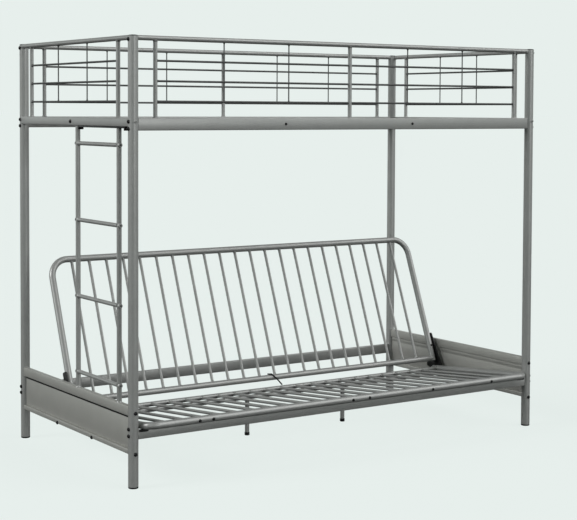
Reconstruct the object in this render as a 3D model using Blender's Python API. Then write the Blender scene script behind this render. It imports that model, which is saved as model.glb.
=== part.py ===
"""Futon bunk bed: a single bed on four posts over a slatted futon sofa that slides out and folds flat.

Metres, +Z up. X runs along the bed, -X at the ladder end; -Y is the open front of the sofa.
The origin is on the floor, under the middle of the whole outline.
"""

import bpy
import bmesh
from math import asin, atan2, cos, hypot, pi, radians, sin, tan
from mathutils import Matrix, Vector

for old in list(bpy.data.objects):
    bpy.data.objects.remove(old, do_unlink=True)

# Whole frame, between the axes of the posts
post_spacing_x = 1.960
post_spacing_y = 0.980
total_height = 1.670
clearance = 0.0003
cut_overrun = 0.004

# Posts
post_diameter = 0.038
post_wall = 0.0015
cap_thickness = 0.004
cap_plug_length = 0.020
foot_thickness = 0.006
foot_plug_length = 0.022

# Upper bed rails: rectangular tube
guard_height = 0.304
upper_rail_height = 0.046
upper_end_rail_height = 0.032
rail_depth = 0.022
rail_wall = 0.0015

# Guards above the upper rails
guard_tube_diameter = 0.019
guard_tube_drop = 0.0105
guard_upright_diameter = 0.016
guard_bar_diameter = 0.008
guard_rod_diameter = 0.005
guard_bar_pitch = 0.075
guard_lowest_bar_rise = 0.061
guard_bar_count = 3
long_guard_inset = 0.092
end_guard_inset = 0.100
long_guard_bays = 6
end_guard_bays = 3

# Deck under the upper mattress
deck_panel_count = 3
deck_slats_per_panel = 8
deck_slat_diameter = 0.012
deck_runner_width = 0.010
deck_runner_height = 0.014
deck_top_drop = 0.010
deck_end_gap = 0.034
deck_support_width = 0.030
deck_support_height = 0.020
deck_panel_gap = 0.004

# Ladder, between the left end panel and the upper end rail
ladder_tube_diameter = 0.019
ladder_width = 0.350
rung_diameter = 0.016
rung_count = 4
top_rung_drop = 0.055
lowest_rung_rise = 0.0625
rung_overhang = 0.004
ladder_strip_thickness = 0.006
ladder_strip_start = 0.030
ladder_strip_length = 0.395

# End panels of the sofa, a little further out than the posts' axes
end_panel_offset = 0.004
panel_below_seat = 0.1075
panel_above_seat = 0.0705
panel_rail_height = 0.036
panel_foot_rail_height = 0.018
sheet_thickness = 0.010
sheet_groove_height = 0.006
sheet_groove_depth = 0.003

# Lower long rails
front_rail_height = 0.040
slat_gap_over_rail = 0.0006
rear_rail_height = 0.044
rear_rail_below_seat = 0.003

# Futon seat
seat_tube_diameter = 0.028
frame_tube_wall = 0.0015
frame_side_inset = 0.040
seat_front_overhang = 0.045
seat_front_height = 0.2335
seat_tilt = radians(5.6)
seat_depth = 0.608
seat_corner_radius = 0.045
seat_rear_tube_diameter = 0.020
seat_tube_end = 0.012
hinge_behind_rear_tube = 0.019
slat_diameter = 0.012
slat_end_gap = 0.0979
slat_count = 22
pad_outer_reach = 0.020
pad_inner_margin = 0.002
pad_thickness = 0.006
seat_support_diameter = 0.019
seat_support_before_rear = 0.052
leg_diameter = 0.019
leg_foot_height = 0.014
leg_foot_wall = 0.001

# Futon back
back_tube_diameter = 0.027
back_lean = radians(21.7)
back_length = 0.5947
back_corner_radius = 0.077
back_bottom_tube_diameter = 0.025
back_bottom_behind_hinge = 0.019
back_bottom_above_hinge = 0.0447
back_tube_end = 0.012

# Hinge hardware between seat and back
plate_thickness = 0.004
plate_margin = 0.013
plate_toe = 0.030
plate_heel = 0.078
plate_heel_height = 0.020
plate_arm_width = 0.030
plate_arm_rise = 0.157
pin_diameter = 0.008
pin_head_diameter = 0.015
pin_head_thickness = 0.0035
bolt_nut_thickness = 0.006
hole_clearance = 0.0003
bolt_up_arm = 0.060
glide_length = 0.028
glide_height = 0.020
glide_width = 0.0115
track_flange_width = 0.019
track_flange_thickness = 0.003
track_flange_drop = 0.014
track_end_margin = 0.030
seat_travel = 0.242

# Wire between the back and the seat
link_diameter = 0.006
link_bow = 0.010
link_off_centre = 0.014
link_slant = 0.039

# Sides given to round pieces, from the thickest to the thinnest
post_sides = 20
tube_sides = 12
slat_sides = 8
rod_sides = 6
corner_steps = 6
fold_passes = 6

smooth_angle = radians(40)

# Shares
weld_share = 0.001
cap_edge_share = 0.5
cap_curve_share = 0.3
bow_blend_share = 0.5
left_leg_share = 0.4163
right_leg_share = 0.6745

# Places that follow from the sizes above
post_radius = post_diameter / 2
left_x = -post_spacing_x / 2
right_x = post_spacing_x / 2
front_reach = seat_front_overhang + seat_tube_diameter / 2
front_y = -post_spacing_y / 2 + (front_reach - post_radius) / 2
rear_y = front_y + post_spacing_y
upper_rail_top = total_height - guard_height
upper_rail_bottom = upper_rail_top - upper_rail_height
upper_end_rail_bottom = upper_rail_top - upper_end_rail_height
upper_end_rail_x = right_x + post_radius - rail_depth / 2
end_guard_x = right_x + post_radius - guard_tube_diameter / 2
end_panel_x = right_x + end_panel_offset
ladder_x = -(upper_end_rail_x + end_panel_x) / 2
guard_tube_height = total_height - guard_tube_drop
tilt = Vector((0, cos(seat_tilt), -sin(seat_tilt)))
seat_normal = Vector((0, sin(seat_tilt), cos(seat_tilt)))
seat_front = Vector((0, front_y - seat_front_overhang, seat_front_height))
seat_rear = seat_front + tilt * seat_depth
hinge = seat_rear + tilt * hinge_behind_rear_tube
lean = Vector((0, sin(back_lean), cos(back_lean)))
back_bottom = hinge + Vector((0, back_bottom_behind_hinge, back_bottom_above_hinge))
back_top = back_bottom + lean * back_length
frame_side_x = post_spacing_x / 2 - frame_side_inset
first_slat_x = slat_end_gap - frame_side_x
slat_pitch = -first_slat_x * 2 / (slat_count - 1)
panel_bottom = seat_front_height - panel_below_seat
panel_top = seat_front_height + panel_above_seat
rear_rail_top = seat_front_height - rear_rail_below_seat
ends = {"left": -1, "right": 1}

# Finishes
paint = {"colour": (0.42, 0.43, 0.43), "roughness": 0.38, "metallic": 0.75}
panel_paint = {"colour": (0.40, 0.41, 0.40), "roughness": 0.45, "metallic": 0.65}
black_steel = {"colour": (0.015, 0.015, 0.017), "roughness": 0.42, "metallic": 0.3}
black_plastic = {"colour": (0.02, 0.02, 0.022), "roughness": 0.55, "metallic": 0.0}
white_plastic = {"colour": (0.70, 0.70, 0.68), "roughness": 0.50, "metallic": 0.0}


def material(name, finish):
    """A Principled material for one sub-part."""
    made = bpy.data.materials.new(name)
    made.use_nodes = True
    shader = made.node_tree.nodes["Principled BSDF"]
    shader.inputs["Base Color"].default_value = (*finish["colour"], 1)
    shader.inputs["Roughness"].default_value = finish["roughness"]
    shader.inputs["Metallic"].default_value = finish["metallic"]
    return made


def add_object(name, bm, finish=None, smooth=False):
    """A mesh object from a bmesh. Without a finish it is a hidden helper for a Boolean."""
    bmesh.ops.recalc_face_normals(bm, faces=bm.faces)
    mesh = bpy.data.meshes.new(name)
    bm.to_mesh(mesh)
    bm.free()
    piece = bpy.data.objects.new(name, mesh)
    bpy.context.scene.collection.objects.link(piece)
    if smooth:
        mesh.shade_smooth()
        mesh.set_sharp_from_angle(angle=smooth_angle)
    if finish is None:
        piece.hide_render = True
        piece.display_type = "WIRE"
    else:
        mesh.materials.append(material(name, finish))
    return piece


def boolean(piece, other, operation):
    """A live Boolean on a piece."""
    modifier = piece.modifiers.new(other.name, "BOOLEAN")
    modifier.operation = operation
    modifier.solver = "EXACT"
    modifier.object = other


def place_on_hinge(piece):
    """Moves an object's origin to the hinge line, with its mesh left where it is."""
    piece.data.transform(Matrix.Translation(-hinge))
    piece.location = hinge


def add_rod(bm, start, end, radius, sides):
    """A solid round bar between two points."""
    along = Vector(end) - Vector(start)
    turn = along.to_track_quat("Z", "X").to_matrix().to_4x4()
    middle = Matrix.Translation((Vector(start) + Vector(end)) / 2)
    bmesh.ops.create_cone(
        bm, cap_ends=True, segments=sides, radius1=radius, radius2=radius, depth=along.length,
        matrix=middle @ turn,
    )


def add_pipe(bm, start, end, radius, bore_radius, sides):
    """A round tube between two points, open at both ends."""
    along = Vector(end) - Vector(start)
    turn = along.to_track_quat("Z", "X").to_matrix().to_4x4()
    rim = bmesh.ops.create_circle(
        bm, cap_ends=True, segments=sides, radius=radius, matrix=Matrix.Translation(start) @ turn
    )
    face = rim["verts"][0].link_faces[0]
    wall = (radius - bore_radius) * cos(pi / sides)
    ring = bmesh.ops.inset_region(bm, faces=[face], thickness=wall, use_boundary=True)
    bmesh.ops.delete(bm, geom=[face], context="FACES_ONLY")
    grown = bmesh.ops.extrude_face_region(bm, geom=ring["faces"], use_keep_orig=True)
    moved = [part for part in grown["geom"] if isinstance(part, bmesh.types.BMVert)]
    bmesh.ops.translate(bm, vec=along, verts=moved)


def add_block(bm, low, high):
    """A box between two opposite corners."""
    low, high = Vector(low), Vector(high)
    size = high - low
    place = Matrix.Translation((low + high) / 2) @ Matrix.Diagonal((*size, 1))
    bmesh.ops.create_cube(bm, size=1, matrix=place)


def add_profile(bm, outline, start_x, end_x):
    """An outline in the YZ plane, extruded along X."""
    corners = [bm.verts.new((start_x, y, z)) for y, z in outline]
    face = bm.faces.new(corners)
    grown = bmesh.ops.extrude_face_region(bm, geom=[face], use_keep_orig=True)
    moved = [part for part in grown["geom"] if isinstance(part, bmesh.types.BMVert)]
    bmesh.ops.translate(bm, vec=(end_x - start_x, 0, 0), verts=moved)


def rounded_path(corners, radius):
    """The points of an open path whose inner corners are arcs of one radius."""
    points = [corners[0]]
    for before, corner, after in zip(corners, corners[1:], corners[2:]):
        back = (before - corner).normalized()
        onward = (after - corner).normalized()
        half = back.angle(onward) / 2
        centre = corner + (back + onward).normalized() * radius / sin(half)
        start = corner + back * radius / tan(half) - centre
        sweep = pi - 2 * half
        axis = onward.cross(back)
        for step in range(corner_steps + 1):
            points.append(centre + Matrix.Rotation(sweep * step / corner_steps, 3, axis) @ start)
    points.append(corners[-1])
    return points


def swept_tube(path, radius, sides):
    """A bmesh of a solid round bar that follows a path, by way of a curve with a bevel."""
    curve = bpy.data.curves.new("path", "CURVE")
    curve.dimensions = "3D"
    curve.bevel_depth = radius
    curve.bevel_resolution = sides // 2 - 2
    curve.use_fill_caps = True
    spline = curve.splines.new("POLY")
    spline.points.add(len(path) - 1)
    for point, place in zip(spline.points, path):
        point.co = (*place, 1)
    guide = bpy.data.objects.new("path", curve)
    bpy.context.scene.collection.objects.link(guide)
    graph = bpy.context.evaluated_depsgraph_get()
    mesh = bpy.data.meshes.new_from_object(guide.evaluated_get(graph))
    bm = bmesh.new()
    bm.from_mesh(mesh)
    bmesh.ops.remove_doubles(bm, verts=bm.verts, dist=radius * weld_share)
    bpy.data.objects.remove(guide, do_unlink=True)
    return bm


def rod_object(name, start, end, diameter, sides, finish):
    bm = bmesh.new()
    add_rod(bm, start, end, diameter / 2, sides)
    return add_object(name, bm, finish, smooth=True)


def posts():
    """Four round tubes, each with a domed cap plugged in its top and a glide in its foot."""
    bore = post_radius - post_wall
    plug_radius = bore - clearance
    low = foot_thickness + clearance
    high = total_height - cap_thickness - clearance
    for side, x in (("left", left_x), ("right", right_x)):
        for row, y in (("front", front_y), ("rear", rear_y)):
            bm = bmesh.new()
            add_pipe(bm, (x, y, low), (x, y, high), post_radius, bore, post_sides)
            add_object(f"post_{row}_{side}", bm, paint, smooth=True)
            name = f"post_cap_{row}_{side}"
            plug(name, x, y, total_height, -cap_thickness, -cap_plug_length, plug_radius)
            plug(f"post_foot_{row}_{side}", x, y, 0, foot_thickness, foot_plug_length, plug_radius)


def add_turned(bm, axis_place, rings, sides):
    """A solid turned round a vertical axis. Each ring is a radius and a height."""
    x, y = axis_place
    profile = [bm.verts.new((x + radius, y, height)) for radius, height in rings]
    edges = [bm.edges.new(pair) for pair in zip(profile, profile[1:])]
    bmesh.ops.spin(
        bm, geom=profile + edges, cent=(x, y, 0), axis=(0, 0, 1), angle=2 * pi, steps=sides, use_merge=True
    )
    bmesh.ops.remove_doubles(bm, verts=bm.verts, dist=rings[1][0] * weld_share)


def plug(name, x, y, face_height, flange, plug_length, plug_radius):
    """A plastic end: a flange as wide as the post with a rounded edge, and a plug for the post's bore."""
    edge = abs(flange) * cap_edge_share
    rise = flange * cap_edge_share
    inside = face_height + flange
    rings = [
        (0, face_height),
        (post_radius - edge, face_height),
        (post_radius - edge * cap_curve_share, face_height + rise * cap_curve_share),
        (post_radius, face_height + rise),
        (post_radius, inside),
        (plug_radius, inside),
        (plug_radius, inside + plug_length),
        (0, inside + plug_length),
    ]
    bm = bmesh.new()
    add_turned(bm, (x, y), rings, post_sides)
    add_object(name, bm, black_plastic, smooth=True)


def post_cutter():
    """The posts, a clearance larger: every rail's end is coped to fit round them."""
    bm = bmesh.new()
    for x in (left_x, right_x):
        for y in (front_y, rear_y):
            low, high = (x, y, -cut_overrun), (x, y, total_height + cut_overrun)
            add_rod(bm, low, high, (post_radius + clearance) / cos(pi / post_sides), post_sides)
    return add_object("post_cutter", bm)


def rail_between_posts(name, start, end, height, finish, cutter, wall=rail_wall):
    """A rectangular tube from post to post, open at its ends. The points are its top middle line."""
    start, end = Vector(start), Vector(end)
    along = (end - start).normalized()
    across = Vector((along.y, along.x, 0))
    bm = bmesh.new()
    add_block(bm, start - across * rail_depth / 2 - Vector((0, 0, height)), end + across * rail_depth / 2)
    rail = add_object(name, bm, finish)
    inner = bmesh.new()
    half = rail_depth / 2 - wall
    add_block(
        inner,
        start - across * half - along * cut_overrun - Vector((0, 0, height - wall)),
        end + across * half + along * cut_overrun - Vector((0, 0, wall)),
    )
    boolean(rail, add_object(name + "_bore", inner), "DIFFERENCE")
    boolean(rail, cutter, "DIFFERENCE")
    return rail


def upper_rails(cutter):
    """The long rails lie between the posts' axes. The end rails are flush with the posts' outer sides."""
    for row, y in (("front", front_y), ("rear", rear_y)):
        ends_at = (left_x, y, upper_rail_top), (right_x, y, upper_rail_top)
        rail_between_posts(f"upper_rail_{row}", *ends_at, upper_rail_height, paint, cutter)
    for side, sign in ends.items():
        x = sign * upper_end_rail_x
        ends_at = (x, front_y, upper_rail_top), (x, rear_y, upper_rail_top)
        rail_between_posts(f"upper_end_rail_{side}", *ends_at, upper_end_rail_height, paint, cutter)


def guard(name, start, end, inset, bays, thick, cutter):
    """A welded guard: a top tube from post to post, and bars and rods between its end uprights."""
    start, end = Vector(start), Vector(end)
    along = (end - start).normalized()
    base = bmesh.new()
    top = Vector((0, 0, guard_tube_height))
    add_rod(base, start + top, end + top, guard_tube_diameter / 2, tube_sides)
    first, last = start + along * inset, end - along * inset
    for index in range(guard_bar_count):
        rise = Vector((0, 0, upper_rail_top + guard_lowest_bar_rise + guard_bar_pitch * index))
        add_rod(base, first + rise, last + rise, guard_bar_diameter / 2, rod_sides)
    panel = add_object(name, base, paint, smooth=True)
    crossing = bmesh.new()
    lowest_bar = upper_rail_top + guard_lowest_bar_rise
    for index in range(bays + 1):
        place = first + (last - first) * index / bays
        if index in thick:
            foot, radius, sides = upper_rail_top + clearance, guard_upright_diameter / 2, slat_sides
        else:
            foot, radius, sides = lowest_bar, guard_rod_diameter / 2, rod_sides
        add_rod(crossing, place + Vector((0, 0, foot)), place + top, radius, sides)
    boolean(panel, add_object(name + "_uprights", crossing), "UNION")
    boolean(panel, cutter, "DIFFERENCE")


def guards(cutter):
    """Four guards. Like the end rails, the end guards are flush with the posts' outer sides."""
    thick = (0, long_guard_bays // 2, long_guard_bays)
    for row, y in (("front", front_y), ("rear", rear_y)):
        ends_at = (left_x, y, 0), (right_x, y, 0)
        guard(f"guard_{row}", *ends_at, long_guard_inset, long_guard_bays, thick, cutter)
    thick = (0, end_guard_bays)
    for side, sign in ends.items():
        x = sign * end_guard_x
        ends_at = (x, front_y, 0), (x, rear_y, 0)
        guard(f"guard_end_{side}", *ends_at, end_guard_inset, end_guard_bays, thick, cutter)


def deck():
    """Slat panels bolted inside the long rails, and cross supports under their joints."""
    top = upper_rail_top - deck_top_drop
    inner_front = front_y + rail_depth / 2 + clearance
    inner_rear = rear_y - rail_depth / 2 - clearance
    low_x, high_x = left_x + deck_end_gap, right_x - deck_end_gap
    share = (high_x - low_x) / deck_panel_count
    slat_height = top - deck_runner_height / 2
    for index, place in enumerate(("left", "middle", "right")):
        start = low_x + share * index + deck_panel_gap / 2
        end = start + share - deck_panel_gap
        runners = bmesh.new()
        for y in (inner_front, inner_rear - deck_runner_width):
            add_block(runners, (start, y, top - deck_runner_height), (end, y + deck_runner_width, top))
        panel = add_object(f"deck_panel_{place}", runners, paint, smooth=True)
        slats = bmesh.new()
        pitch = (end - start) / deck_slats_per_panel
        first = start + pitch / 2
        for slat in range(deck_slats_per_panel):
            x = first + pitch * slat
            reach = deck_runner_width / 2
            ends_at = (x, inner_front + reach, slat_height), (x, inner_rear - reach, slat_height)
            add_rod(slats, *ends_at, deck_slat_diameter / 2, slat_sides)
        boolean(panel, add_object(f"deck_slats_{place}", slats), "UNION")
    support_top = top - deck_runner_height - clearance
    for index, place in enumerate(("left", "right")):
        x = low_x + share * (index + 1)
        bm = bmesh.new()
        half = deck_support_width / 2
        bottom = support_top - deck_support_height
        add_block(bm, (x - half, inner_front, bottom), (x + half, inner_rear, support_top))
        add_object(f"deck_support_{place}", bm, paint)


def ladder():
    """Two stiles between the end panel and the upper end rail, and rungs right through them."""
    x = ladder_x
    front = front_y + end_guard_inset
    rear = front + ladder_width
    bottom = panel_top + clearance
    strip_top = upper_end_rail_bottom - clearance
    strip_bottom = strip_top - ladder_strip_thickness
    top_rung = upper_rail_bottom - top_rung_drop
    rung_pitch = (top_rung - panel_top - lowest_rung_rise) / (rung_count - 1)
    radius, rung_radius = ladder_tube_diameter / 2, rung_diameter / 2
    cutter = bmesh.new()
    for index in range(rung_count):
        z = top_rung - rung_pitch * index
        ends_at = (x, front - radius - rung_overhang, z), (x, rear + radius + rung_overhang, z)
        rod_object(f"ladder_rung_{index + 1}", *ends_at, rung_diameter, tube_sides, paint)
        wider = (rung_radius + clearance) / cos(pi / tube_sides)
        beyond = Vector((0, cut_overrun, 0))
        add_rod(cutter, Vector(ends_at[0]) - beyond, Vector(ends_at[1]) + beyond, wider, tube_sides)
    holes = add_object("rung_holes", cutter)
    for row, y, top in (("front", front, strip_bottom - clearance), ("rear", rear, strip_top)):
        ends_at = (x, y, bottom), (x, y, top)
        stile = rod_object(f"ladder_stile_{row}", *ends_at, ladder_tube_diameter, post_sides, paint)
        boolean(stile, holes, "DIFFERENCE")
    strip = bmesh.new()
    start = front_y + ladder_strip_start
    half = rail_depth / 2
    rail_x = -upper_end_rail_x
    end = start + ladder_strip_length
    add_block(strip, (rail_x - half, start, strip_bottom), (rail_x + half, end, strip_top))
    add_object("ladder_top_strip", strip, black_steel)


def end_panels(cutter):
    """Each end of the sofa: a deep top rail, a sheet with a groove under the rail, and a bottom rail."""
    sheet_top = panel_top - panel_rail_height - clearance
    foot_height = panel_foot_rail_height
    foot_top = panel_bottom + foot_height
    shoulder = sheet_top - sheet_groove_height
    for side, sign in ends.items():
        x = sign * end_panel_x
        line = (x, front_y, panel_top), (x, rear_y, panel_top)
        rail_between_posts(f"end_panel_top_rail_{side}", *line, panel_rail_height, panel_paint, cutter)
        line = (x, front_y, foot_top), (x, rear_y, foot_top)
        rail_between_posts(f"end_panel_bottom_rail_{side}", *line, foot_height, panel_paint, cutter)
        half, waist = sheet_thickness / 2, sheet_thickness / 2 - sheet_groove_depth
        bm = bmesh.new()
        add_block(bm, (x - half, front_y, foot_top + clearance), (x + half, rear_y, shoulder))
        sheet = add_object(f"end_panel_sheet_{side}", bm, panel_paint)
        tongue = bmesh.new()
        low = shoulder - sheet_groove_height
        add_block(tongue, (x - waist, front_y, low), (x + waist, rear_y, sheet_top))
        boolean(sheet, add_object(f"sheet_tongue_{side}", tongue), "UNION")
        boolean(sheet, cutter, "DIFFERENCE")


def seat_underside(y, radius):
    """The height of the underside of the seat's tubes or slats at a place along Y."""
    return seat_front.z - (y - seat_front.y) * tan(seat_tilt) - radius / cos(seat_tilt)


def corner_reach(behind_front):
    """How far in from a side tube's axis its bent corner reaches, behind the front tube's axis."""
    turn = asin(max(0, 1 - behind_front / seat_corner_radius))
    return seat_corner_radius * (1 - cos(turn)) + seat_tube_diameter / 2 / cos(turn)


def lower_rails(cutter):
    """The front rail is notched for the seat's side tubes, which slide on a pad in each notch.

    The rear rail carries the folded back.
    """
    pad_rear = front_y + rail_depth / 2
    pad_front = front_y - rail_depth / 2
    front_rail_top = seat_underside(pad_rear, slat_diameter / 2) - slat_gap_over_rail
    front_line = (left_x, front_y, front_rail_top), (right_x, front_y, front_rail_top)
    front_rail = rail_between_posts("lower_rail_front", *front_line, front_rail_height, paint, cutter)
    rear_line = (left_x, rear_y, rear_rail_top), (right_x, rear_y, rear_rail_top)
    rail_between_posts("lower_rail_rear", *rear_line, rear_rail_height, paint, cutter)
    tube_underside = seat_underside(pad_rear, seat_tube_diameter / 2)
    pad_bottom = tube_underside - pad_thickness
    notches = bmesh.new()
    for side, sign in ends.items():
        outline = (
            (pad_front, pad_bottom),
            (pad_rear, pad_bottom),
            (pad_rear, tube_underside - clearance),
            (pad_front, seat_underside(pad_front, seat_tube_diameter / 2) - clearance),
        )
        inner = frame_side_x - corner_reach(seat_front_overhang - rail_depth / 2) - pad_inner_margin
        outer = frame_side_x + pad_outer_reach
        bm = bmesh.new()
        add_profile(bm, outline, sign * inner, sign * outer)
        add_object(f"seat_pad_{side}", bm, black_plastic)
        low_x, high_x = sorted((sign * (inner - clearance), sign * (outer + clearance)))
        add_block(
            notches,
            (low_x, pad_front - cut_overrun, pad_bottom - clearance),
            (high_x, pad_rear + cut_overrun, front_rail_top + cut_overrun),
        )
    boolean(front_rail, add_object("rail_notches", notches), "DIFFERENCE")


def slatted_frame(
    name, near, far, cross, radius, end_beyond, corner_radius, cross_radius, holes_at, holes_past_axis
):
    """A welded frame: a bent tube open at its cross tube's side, a cross tube and slats between them.

    near and far are the middles of the bent tube's run along X and of the cross tube. cross is the unit
    direction from near to far. The holes run in from outside, and end at a distance past the tube's axis.
    """
    out = Vector((frame_side_x, 0, 0))
    tail = far + cross * end_beyond
    path = rounded_path([tail - out, near - out, near + out, tail + out], corner_radius)
    frame = add_object(name, swept_tube(path, radius, tube_sides), paint, smooth=True)
    tube = bmesh.new()
    add_rod(tube, far - out, far + out, cross_radius, tube_sides)
    boolean(frame, add_object(name + "_cross_tube", tube), "UNION")
    slats = bmesh.new()
    for index in range(slat_count):
        x = Vector((first_slat_x + slat_pitch * index, 0, 0))
        add_rod(slats, near + x, far + x, slat_diameter / 2, slat_sides)
    boolean(frame, add_object(name + "_slats", slats), "UNION")
    beyond = cross * cut_overrun
    inner = [path[0] + beyond, *path[1:-1], path[-1] + beyond]
    bore = swept_tube(inner, radius - frame_tube_wall, tube_sides)
    boolean(frame, add_object(name + "_bore", bore), "DIFFERENCE")
    holes = bmesh.new()
    wide = out + Vector((radius + cut_overrun, 0, 0))
    slim = out - Vector((holes_past_axis, 0, 0))
    for sign in (-1, 1):
        add_rod(holes, holes_at + wide * sign, holes_at + slim * sign, hole_radius, tube_sides)
    boolean(frame, add_object(name + "_holes", holes), "DIFFERENCE")
    return frame


hole_radius = (pin_diameter / 2 + hole_clearance) / cos(pi / tube_sides)
bolt_place = back_bottom + lean * bolt_up_arm


def seat():
    """The seat frame, the tube under its slats, the legs and their feet."""
    radius = seat_tube_diameter / 2
    frame = slatted_frame(
        "seat_frame", seat_front, seat_rear, tilt, radius, hinge_behind_rear_tube + seat_tube_end,
        seat_corner_radius, seat_rear_tube_diameter / 2, hinge, radius + cut_overrun,
    )
    frame["joint"] = "seat_slide"
    drop = slat_diameter / 2 + clearance + seat_support_diameter / 2
    support = seat_rear - tilt * seat_support_before_rear - seat_normal * drop
    reach = Vector((frame_side_x - seat_tube_diameter / 2 - clearance, 0, 0))
    tube = rod_object(
        "seat_support_tube", support - reach, support + reach, seat_support_diameter, tube_sides, paint
    )
    side_tubes = bmesh.new()
    for sign in (-1, 1):
        x = Vector((sign * frame_side_x, 0, 0))
        wider = seat_tube_diameter / 2 + clearance
        add_rod(side_tubes, seat_front + x, seat_rear + x, wider / cos(pi / tube_sides), tube_sides)
    boolean(tube, add_object("side_tube_room", side_tubes), "DIFFERENCE")
    room = bmesh.new()
    wider = (seat_support_diameter / 2 + clearance) / cos(pi / tube_sides)
    add_rod(room, support - reach, support + reach, wider, tube_sides)
    support_room = add_object("support_tube_room", room)
    for side, share in (("left", left_leg_share), ("right", right_leg_share)):
        x = left_x + post_spacing_x * share
        ends_at = (x, support.y, leg_foot_wall + clearance), (x, support.y, support.z)
        leg = rod_object(f"seat_leg_{side}", *ends_at, leg_diameter, tube_sides, paint)
        boolean(leg, support_room, "DIFFERENCE")
        leg_foot(f"seat_leg_foot_{side}", x, support.y)


def leg_foot(name, x, y):
    """A plastic cup on the end of a leg."""
    bm = bmesh.new()
    outer = leg_diameter / 2 + clearance + leg_foot_wall
    add_rod(bm, (x, y, 0), (x, y, leg_foot_height), outer, tube_sides)
    cup = add_object(name, bm, black_plastic, smooth=True)
    bore = bmesh.new()
    inside = (leg_diameter / 2 + clearance) / cos(pi / tube_sides)
    add_rod(bore, (x, y, leg_foot_wall), (x, y, leg_foot_height + cut_overrun), inside, tube_sides)
    boolean(cup, add_object(name + "_bore", bore), "DIFFERENCE")


def back():
    """The back frame and the wire that hooks it to the seat."""
    frame = slatted_frame(
        "back_frame", back_top, back_bottom, -lean, back_tube_diameter / 2, back_tube_end, back_corner_radius,
        back_bottom_tube_diameter / 2, bolt_place, 0,
    )
    place_on_hinge(frame)
    bow = seat_normal.lerp(lean, bow_blend_share).normalized() * -link_bow
    start = back_bottom + Vector((link_off_centre, 0, 0))
    end = seat_rear + Vector((link_off_centre + link_slant, 0, 0))
    path = [start, (start + end) / 2 + bow, end]
    wire = swept_tube(path, link_diameter / 2, slat_sides)
    link = add_object("centre_link", wire, black_steel, smooth=True)
    tubes = bmesh.new()
    reach = Vector((link_slant, 0, 0))
    for place, diameter in ((start, back_bottom_tube_diameter), (end, seat_rear_tube_diameter)):
        wider = (diameter / 2 + clearance) / cos(pi / tube_sides)
        add_rod(tubes, place - reach, place + reach, wider, tube_sides)
    boolean(link, add_object("link_tube_room", tubes), "DIFFERENCE")
    place_on_hinge(link)


def plate_outline():
    """The hinge plate in YZ, from its toe under the hinge to the heel, and round the arm."""
    arm_side = Vector((0, cos(back_lean), -sin(back_lean))) * plate_arm_width / 2
    arm_top = back_bottom + lean * ((plate_arm_rise - back_bottom_above_hinge) / cos(back_lean))
    knee = back_bottom - lean * back_tube_end
    corners = (
        hinge + Vector((0, -plate_toe, -plate_margin)),
        hinge + Vector((0, plate_margin, -plate_margin)),
        hinge + Vector((0, plate_heel, 0)),
        hinge + Vector((0, plate_heel, plate_heel_height)),
        knee + arm_side,
        arm_top + arm_side,
        arm_top - arm_side,
        hinge + Vector((0, -plate_toe, plate_margin)),
    )
    return [(corner.y, corner.z) for corner in corners]


def hinges():
    """At each end: a plate on the back's side tube, its bolt, the hinge pin, and the glide on the pin."""
    outer = frame_side_x + seat_tube_diameter / 2
    plate_in = outer + clearance
    plate_out = plate_in + plate_thickness
    glide_in = plate_out + clearance
    glide_out = glide_in + glide_width
    inner = frame_side_x - seat_tube_diameter / 2 - clearance
    for side, sign in ends.items():
        bm = bmesh.new()
        add_profile(bm, plate_outline(), sign * plate_in, sign * plate_out)
        plate = add_object(f"hinge_plate_{side}", bm, black_steel)
        drill = bmesh.new()
        for place in (hinge, bolt_place):
            x_in = Vector((sign * (plate_in - cut_overrun), 0, 0))
            x_out = Vector((sign * (plate_out + cut_overrun), 0, 0))
            add_rod(drill, place + x_in, place + x_out, hole_radius, tube_sides)
        boolean(plate, add_object(f"plate_holes_{side}", drill), "DIFFERENCE")
        place_on_hinge(plate)
        glide(side, sign, glide_in, glide_out)
        pin(f"hinge_pin_{side}", hinge, sign, inner, glide_out + clearance, bolt_nut_thickness)
        bolt = pin(f"back_bolt_{side}", bolt_place, sign, frame_side_x, plate_out + clearance, 0)
        place_on_hinge(bolt)


def pin(name, place, sign, inner, outer, nut_thickness):
    """A bolt along X: its head is outside, and its nut, if it has one, on the inner side."""
    bm = bmesh.new()
    head = Vector((sign * outer, 0, 0)), Vector((sign * (outer + pin_head_thickness), 0, 0))
    nut = Vector((sign * inner, 0, 0)), Vector((sign * (inner - nut_thickness), 0, 0))
    add_rod(bm, place + head[0], place + head[1], pin_head_diameter / 2, tube_sides)
    if nut_thickness:
        add_rod(bm, place + nut[0], place + nut[1], pin_head_diameter / 2, rod_sides)
    bolt = add_object(name, bm, black_steel, smooth=True)
    shaft = bmesh.new()
    head_middle, nut_middle = (head[0] + head[1]) / 2, (nut[0] + nut[1]) / 2
    add_rod(shaft, place + head_middle, place + nut_middle, pin_diameter / 2, tube_sides)
    boolean(bolt, add_object(name + "_shaft", shaft), "UNION")
    return bolt


def glide(side, sign, glide_in, glide_out):
    """A plastic block on the hinge pin, which slides along the track."""
    half_length, half_height = glide_length / 2, glide_height / 2
    corners = [
        hinge + tilt * along * half_length + seat_normal * up * half_height
        for along, up in ((-1, -1), (1, -1), (1, 1), (-1, 1))
    ]
    bm = bmesh.new()
    add_profile(bm, [(corner.y, corner.z) for corner in corners], sign * glide_in, sign * glide_out)
    block = add_object(f"seat_glide_{side}", bm, white_plastic)
    drill = bmesh.new()
    x_in = Vector((sign * (glide_in - cut_overrun), 0, 0))
    x_out = Vector((sign * (glide_out + cut_overrun), 0, 0))
    add_rod(drill, hinge + x_in, hinge + x_out, hole_radius, tube_sides)
    boolean(block, add_object(f"glide_hole_{side}", drill), "DIFFERENCE")


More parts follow.
